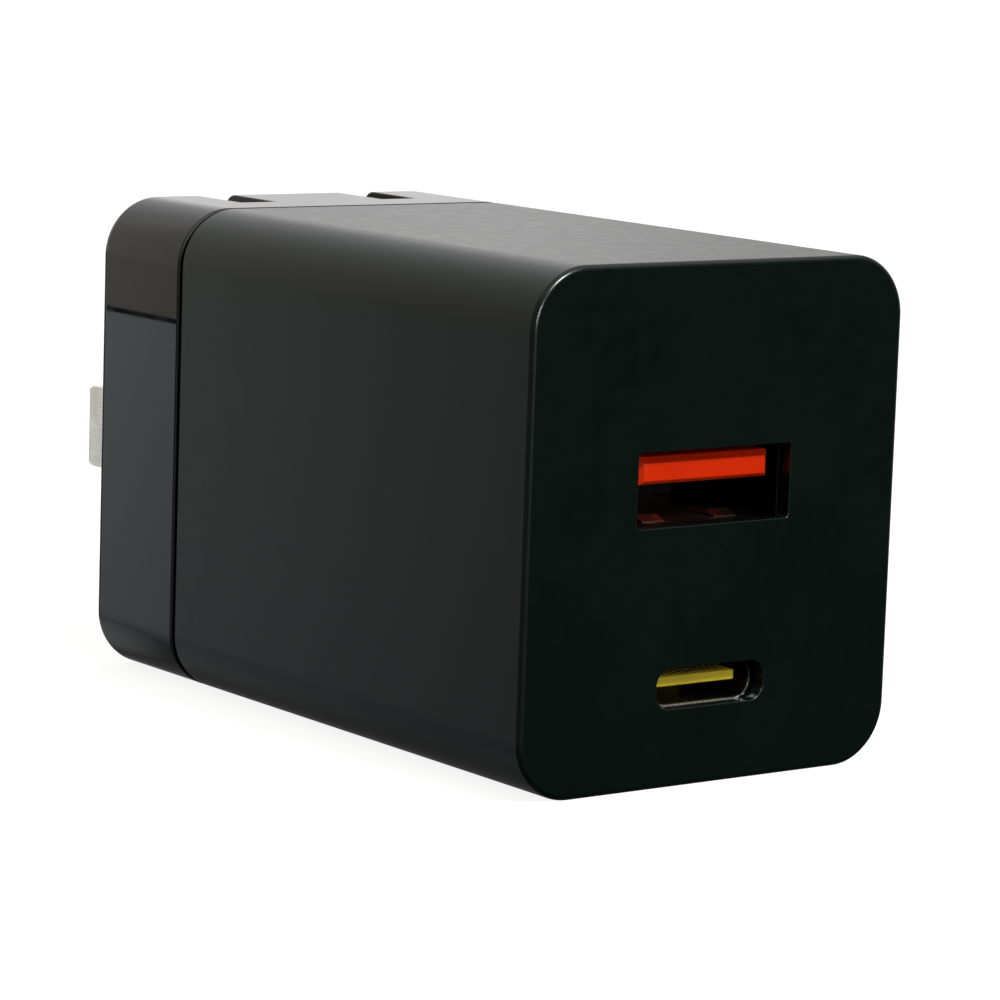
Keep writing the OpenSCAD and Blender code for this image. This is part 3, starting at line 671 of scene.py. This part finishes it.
def blackened_shell():
    """Black plating, with a pinkish painted glint on the sprung fingers that press on the plug, standing in
    for their reflection of the orange tongue.
    """
    color = BLACK_PLATING
    surface = Surface("dark nickel", color, 0.4, metallic=1)
    floor_z = SOCKET_A_LOW.z + SHELL_T
    low = (PORT_A["x"] - FINGERS_HALF, SOCKET_A_LOW.y + FINGERS_RISE, floor_z - SHELL_T)
    high = (PORT_A["x"] + FINGERS_HALF, SOCKET_A_HIGH.y, floor_z + FINGERS_RISE)
    fingers = surface.within(low, high)
    streaks = surface.noise(STREAK_W, detail=3, stretch=DRAWN_INWARDS)
    surface.vary_color(streaks, shade(color, 0.9), shade(color, 1.1))
    # Painted glint: the fingers' pinkish colour stands in for their reflection of the orange tongue
    surface.change_there("Base Color", fingers, FINGER_GLINT_PAINT)
    surface.vary_roughness(streaks, 0.35, 0.5)
    surface.change_there("Roughness", fingers, 0.2)
    surface.relief(streaks, STREAK_DEPTH / 2)
    return surface.material


def nickel_shell_painted_rim():
    """Dull nickel plating, with a pale painted highlight along the lower part of the front rim."""
    color = DULL_NICKEL
    surface = Surface("bright nickel", color, 0.24, metallic=1)
    streaks = surface.noise(STREAK_W, detail=3, stretch=DRAWN_INWARDS)
    surface.vary_color(surface.noise(TARNISH, detail=4), shade(color, 0.88), shade(color, 1.06))
    # Painted highlight: a pale band over the lower half of the front rim
    low = (PORT_C["x"] - RIM_HIGHLIGHT_HALF, SOCKET_C_LOW.y - REACH, SOCKET_C_LOW.z)
    high = (PORT_C["x"] + RIM_HIGHLIGHT_HALF, SOCKET_C_LOW.y + SHELL_T, PORT_C["z"])
    surface.change_there("Base Color", surface.within(low, high), RIM_HIGHLIGHT_PAINT)
    surface.vary_roughness(streaks, 0.19, 0.30)
    surface.relief(streaks, STREAK_DEPTH)
    return surface.material


def orange_tongue():
    """Orange plastic, painted black as shade where it closes the deep back of the socket."""
    color = ORANGE
    surface = Surface("orange insulator", color, 0.34).set(specular_ior_level=0.3)
    surface.vary_color(surface.noise(COLOR_DRIFT), shade(color, 0.9), shade(color, 1.1))
    back_y = FRONT_Y + SOCKET_A_DEPTH - REACH
    back = surface.within((-BODY_W, back_y, -BODY_H), (BODY_W, CAP_LOW.y, BODY_H))
    # Painted shade: the back of the insulator, deep in the socket, is coloured black
    surface.change_there("Base Color", back, SOCKET_SHADE_PAINT)
    surface.vary_roughness(surface.noise(GLOSS_DRIFT, detail=4), 0.31, 0.37)
    surface.relief(surface.noise(0.0002, detail=3), 0.000002)
    return surface.material


def striped_board():
    """Solder mask with the tracks under it showing as paler bands."""
    surface = Surface("circuit board", SOLDER_MASK, 0.3).set(coat_weight=0.4, coat_roughness=0.15)
    tracks = surface.noise(0.0006, detail=1, stretch=(6, 1, 6))
    surface.vary_color(tracks, (0.008, 0.10, 0.04), (0.02, 0.19, 0.08), spread=0.04)
    surface.relief(tracks, 0.00001)
    return surface.material


def wound_wire(name, color, axis, pitch):
    """Enamelled wire, each turn standing out from the next, with painted shade darkening the colour in the
    creases between turns.
    """
    surface = Surface(name, color, 0.28, metallic=1).set(coat_weight=0.5, coat_roughness=0.1)
    turns = surface.bands(axis, pitch)
    # Painted shade: the colour darkens in the bands between the turns
    surface.vary_color(turns, shade(color, 0.55), shade(color, 1.1), spread=0.4)
    surface.relief(turns, 0.0001)
    return surface.material


SURFACES = {
    "housing_plastic": textured_housing(),
    "cap_plastic": glossy_cap(),
    "rotor_plastic": moulded("rotor plastic", (0.02, 0.02, 0.022), 0.38),
    "inner_plastic": moulded("inner plastic", (0.03, 0.03, 0.032), 0.5),
    "blade_metal": plated("blade metal", (0.98, 0.885, 0.80), 0.17, brushed_along=(1, 40, 1)),
    "contact_brass": plated("contact brass", (0.75, 0.55, 0.22), 0.3, brushed_along=(1, 1, 20)),
    "screw_steel": plated("screw steel", (0.5, 0.5, 0.52), 0.32),
    "live_insulation": moulded("live insulation", (0.16, 0.06, 0.03), 0.42, grain=0.0004),
    "neutral_insulation": moulded("neutral insulation", (0.03, 0.10, 0.36), 0.42, grain=0.0004),
    "circuit_board": striped_board(),
    "insulation_film": moulded("insulation film", (0.72, 0.66, 0.48), 0.35, grain=0.002),
    "dark_nickel": blackened_shell(),
    "bright_nickel": nickel_shell_painted_rim(),
    "orange_insulator": orange_tongue(),
    "mustard_insulator": moulded("mustard insulator", MUSTARD, 0.38, grain=0.0002, depth=0.000002),
    "gold_contact": plated("gold contact", (0.95, 0.68, 0.25), 0.22, brushed_along=DRAWN_INWARDS),
    "ferrite": moulded("ferrite", (0.03, 0.03, 0.035), 0.55, grain=0.00015, depth=0.00001),
    "copper_wire": wound_wire("copper wire", (0.55, 0.2, 0.07), "Z", 0.0004),
    "tape": moulded("tape", (0.85, 0.6, 0.04), 0.25, grain=0.004),
    "capacitor_sleeve": moulded("capacitor sleeve", (0.015, 0.02, 0.06), 0.25, grain=0.003, depth=0.00001),
    "capacitor_can": plated("capacitor can", (0.72, 0.73, 0.75), 0.3, brushed_along=(20, 20, 1)),
    "film_capacitor_case": moulded("film capacitor case", (0.7, 0.6, 0.12), 0.4),
    "disc_coating": moulded("disc coating", (0.05, 0.14, 0.42), 0.35, grain=0.0012, depth=0.00003),
    "fuse_body": moulded("fuse body", (0.62, 0.68, 0.62), 0.3, grain=0.0005),
    "chip_resin": moulded("chip resin", (0.015, 0.015, 0.017), 0.5, grain=0.00012, depth=0.000006),
    "chip_ceramic": moulded("chip ceramic", (0.35, 0.2, 0.1), 0.4, grain=0.0002),
    "spreader_metal": plated("spreader metal", (0.7, 0.71, 0.73), 0.38, brushed_along=(1, 40, 1)),
    "pad_silicone": moulded("pad silicone", (0.25, 0.4, 0.55), 0.6, grain=0.0003, depth=0.00001),
}

# ---------------------------------------------------------------- pieces


def dress(piece, slot):
    """Gives the piece the surface of its slot."""
    piece.data.materials.clear()
    piece.data.materials.append(SURFACES[slot])


def make_pieces():
    """New meshes for the casing, and rounded edges and a surface for every CAD node that stays."""
    made = {"housing_shell": make_housing(), "rear_cap": make_cap()}
    for node, piece in made.items():
        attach(piece, "charger_body")
        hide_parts(node)
    for part in frame["record"]["subparts"]:
        node = part["node"]
        piece = made.get(node, frame["nodes"][node])
        dress(piece, part["material_slot"])
        if node not in made:
            soften_edges(piece, EDGE_RS.get(node, EDGE_R))


# ---------------------------------------------------------------- stage, lights and camera

CAMERA_PLACE = (-0.1735, -0.2645, 0.0428)
CAMERA_HEADING = 36.48  # degrees from +Y towards +X
CAMERA_DIP = 8.70
CAMERA_ROLL = 1.95
CAMERA_LENS = 148.5  # in mm, like the sensor's width
SENSOR_W = 36

# Each softbox: its place, width, height and watts
KEY_SOFTBOX = ((0.06, -0.50, 0.41), 0.12, 0.10, 3.9)
FILL_SOFTBOX = ((-0.10, -0.45, 0.09), 0.06, 0.06, 0.6)

RIGHT = (1, 0, 0)
BACK = (0, 1, 0)
UP = (0, 0, 1)
# How strong the world's light is by heading, in degrees from +Y towards +X
HEADING_LEVELS = (
    (-180, 0.18),
    (-150, 0.20),
    (-60, 0.30),
    (-45, 0.26),
    (-36, 0.34),
    (-34, 0.50),
    (-32, 1.00),
    (-30.5, 1.10),
    (-29, 1.30),
    (-20, 1.00),
    (0, 0.75),
    (25, 0.78),
    (30, 0.95),
    (34, 0.85),
    (36, 0.95),
    (38, 0.82),
    (40, 0.70),
    (43, 0.60),
    (55, 0.40),
    (90, 0.40),
    (120, 0.20),
    (135, 0.03),
    (150, 0.03),
    (165, 0.14),
    (180, 0.18),
)
# Other changes in the world's light: over which range of a direction's part along an axis each happens,
# and from what to what it goes
WEAK_BELOW = ((-0.45, 0.10), (0.12, 1.0))
BELOW_LEVEL = ((-0.08, 0.0), (1, 0))
FAR_BEHIND = ((0.905, 0.945), (0, 1))
ABOVE_LEVEL = ((-0.06, 0.06), (0, 1))
ON_THE_LEFT = ((-0.15, 0.35), (1, 0))
MOST_UPPER_LEFT = ((0.825, 0.86), (0.53, 1.0))
CEILING = ((0.50, 0.75), (0, 0.75))
TABLE_GLOW = ((-0.35, -0.20), (0.5, 0))
GLOW_BEHIND = ((0.828, 0.845), (0, 1))
GLOW_LEFT = ((-0.3, 0.4), (1, 0))
TINTED_LEFT = ((-0.45, 0.1), (1, 0))
LOW_BEHIND_LEVEL = 0.2
# What the world shows to the left of the object, below and above a slanting table edge
TABLE_NORMAL = (-0.204, 0.002, 0.979)
TABLE_EDGE_REACH = 0.009
COOL = (0.90, 1.0, 1.02)
DARK_EDGE = (0.03, 0.06, 0.05)
WARM = (0.71, 0.68, 0.60)
WHITE = (1.0, 0.985, 0.985)
TABLE_STOPS = ((0.480, COOL), (0.492, DARK_EDGE), (0.548, DARK_EDGE), (0.560, WARM))


def make_camera():
    """Looks at the front and the left side from a little above."""
    camera = bpy.data.objects.new("camera", bpy.data.cameras.new("camera"))
    bpy.context.scene.collection.objects.link(camera)
    camera.data.lens = CAMERA_LENS
    camera.data.sensor_width = SENSOR_W
    camera.data.clip_start = 0.01
    turn = Matrix.Rotation(math.radians(-CAMERA_HEADING), 4, "Z")
    tilt = Matrix.Rotation(math.radians(90 - CAMERA_DIP), 4, "X")
    roll = Matrix.Rotation(math.radians(CAMERA_ROLL), 4, "Z")
    camera.matrix_world = Matrix.Translation(CAMERA_PLACE) @ turn @ tilt @ roll
    bpy.context.scene.camera = camera


def make_floor():
    """A plain pale floor, which neither lights the object nor shows in its gloss."""
    bm = bmesh.new()
    bmesh.ops.create_grid(bm, x_segments=1, y_segments=1, size=6)
    floor = add_object("floor", finish_mesh(bm, "floor"))
    floor.location.z = HOUSING_LOW.z
    floor.visible_glossy = False
    floor.visible_diffuse = False
    surface = Surface("pale floor", (0.3, 0.3, 0.3), 0.9).set(specular_ior_level=0)
    surface.set(emission_color=(1, 1, 1, 1), emission_strength=0.88)
    floor.data.materials.append(surface.material)


def make_world():
    """Plain white to the camera. The light it gives follows light_strength and light_tint."""
    world = bpy.data.worlds.new("studio")
    bpy.context.scene.world = world
    world.use_nodes = True
    tree = world.node_tree
    shown = tree.nodes["Background"]
    shown.inputs["Color"].default_value = (1, 1, 1, 1)
    light = tree.nodes.new("ShaderNodeBackground")
    tree.links.new(light_strength(tree), light.inputs["Strength"])
    tree.links.new(light_tint(tree), light.inputs["Color"])
    ray = tree.nodes.new("ShaderNodeLightPath")
    mix = tree.nodes.new("ShaderNodeMixShader")
    tree.links.new(ray.outputs["Is Camera Ray"], mix.inputs["Fac"])
    tree.links.new(light.outputs["Background"], mix.inputs[1])
    tree.links.new(shown.outputs["Background"], mix.inputs[2])
    tree.links.new(mix.outputs["Shader"], tree.nodes["World Output"].inputs["Surface"])


def light_strength(tree):
    """Changes with the heading, and is weaker from below and from low behind.

    Above on the left it has a limit. A ceiling, and a glow off the table behind on the left, are the
    least that their directions get.
    """
    turn = add_gradient(tree, heading(tree), (-math.pi, math.pi), (0, 1), "LINEAR")
    level = add_ramp(tree, turn, [(degrees / 360 + 0.5, (grey,) * 3) for degrees, grey in HEADING_LEVELS])
    strength = multiply(tree, level, along(tree, UP, *WEAK_BELOW))

    low_behind = multiply(tree, along(tree, UP, *BELOW_LEVEL), along(tree, BACK, *FAR_BEHIND))
    dimming = add_gradient(tree, low_behind, (0, 1), (1, LOW_BEHIND_LEVEL), "LINEAR")
    strength = multiply(tree, strength, dimming)

    upper_left = multiply(tree, along(tree, UP, *ABOVE_LEVEL), along(tree, RIGHT, *ON_THE_LEFT))
    evened = combine_values(tree, "MINIMUM", strength, along(tree, BACK, *MOST_UPPER_LEFT))
    mix = tree.nodes.new("ShaderNodeMix")
    tree.links.new(upper_left, mix.inputs["Factor"])
    tree.links.new(strength, mix.inputs["A"])
    tree.links.new(evened, mix.inputs["B"])

    strength = combine_values(tree, "MAXIMUM", mix.outputs["Result"], along(tree, UP, *CEILING))
    table_glow = multiply(tree, along(tree, UP, *TABLE_GLOW), along(tree, BACK, *GLOW_BEHIND))
    table_glow = multiply(tree, table_glow, along(tree, RIGHT, *GLOW_LEFT))
    return combine_values(tree, "MAXIMUM", strength, table_glow)


def light_tint(tree):
    """White, except for what the glossy cap mirrors on the left: a cool table, its dark edge, warm air."""
    reach = (-TABLE_EDGE_REACH, TABLE_EDGE_REACH)
    height = add_gradient(tree, direction_part(tree, TABLE_NORMAL), reach, (0, 1), "LINEAR")
    tint = tree.nodes.new("ShaderNodeMix")
    tint.data_type = "RGBA"
    tint.inputs["A"].default_value = (*WHITE, 1)
    tree.links.new(along(tree, RIGHT, *TINTED_LEFT), tint.inputs["Factor"])
    tree.links.new(add_ramp(tree, height, TABLE_STOPS), tint.inputs["B"])
    return tint.outputs["Result"]


def heading(tree):
    """The light's compass direction in radians, from +Y towards +X."""
    place = tree.nodes.new("ShaderNodeTexCoord")
    split = tree.nodes.new("ShaderNodeSeparateXYZ")
    turn = tree.nodes.new("ShaderNodeMath")
    turn.operation = "ARCTAN2"
    tree.links.new(place.outputs["Generated"], split.inputs["Vector"])
    tree.links.new(split.outputs["X"], turn.inputs[0])
    tree.links.new(split.outputs["Y"], turn.inputs[1])
    return turn.outputs["Value"]


def direction_part(tree, axis):
    """How far the light's direction points along an axis, from -1 to 1."""
    place = tree.nodes.new("ShaderNodeTexCoord")
    node = tree.nodes.new("ShaderNodeVectorMath")
    node.operation = "DOT_PRODUCT"
    node.inputs[1].default_value = Vector(axis).normalized()
    tree.links.new(place.outputs["Generated"], node.inputs[0])
    return node.outputs["Value"]


def along(tree, axis, source, target):
    """Gradient over how far the light's direction points along an axis."""
    return add_gradient(tree, direction_part(tree, axis), source, target)


def add_gradient(tree, value, source, target, steps="SMOOTHSTEP"):
    """Goes from one target value to the other as the value goes through the source's range."""
    node = tree.nodes.new("ShaderNodeMapRange")
    node.interpolation_type = steps
    node.inputs["From Min"].default_value, node.inputs["From Max"].default_value = source
    node.inputs["To Min"].default_value, node.inputs["To Max"].default_value = target
    tree.links.new(value, node.inputs["Value"])
    return node.outputs["Result"]


def add_softbox(name, place, width, height, watts):
    """Rectangular area light that faces the middle of the object."""
    data = bpy.data.lights.new(name, "AREA")
    data.shape = "RECTANGLE"
    data.size = width
    data.size_y = height
    data.energy = watts
    light = bpy.data.objects.new(name, data)
    bpy.context.scene.collection.objects.link(light)
    light.location = place
    aim = (Vector((0, FRONT_Y / 2, 0)) - light.location).to_track_quat("-Z", "Y")
    light.rotation_euler = aim.to_euler()


make_pieces()
make_floor()
make_world()
add_softbox("key softbox", *KEY_SOFTBOX)
add_softbox("fill softbox", *FILL_SOFTBOX)
make_camera()
bpy.context.scene.view_settings.view_transform = "Standard"
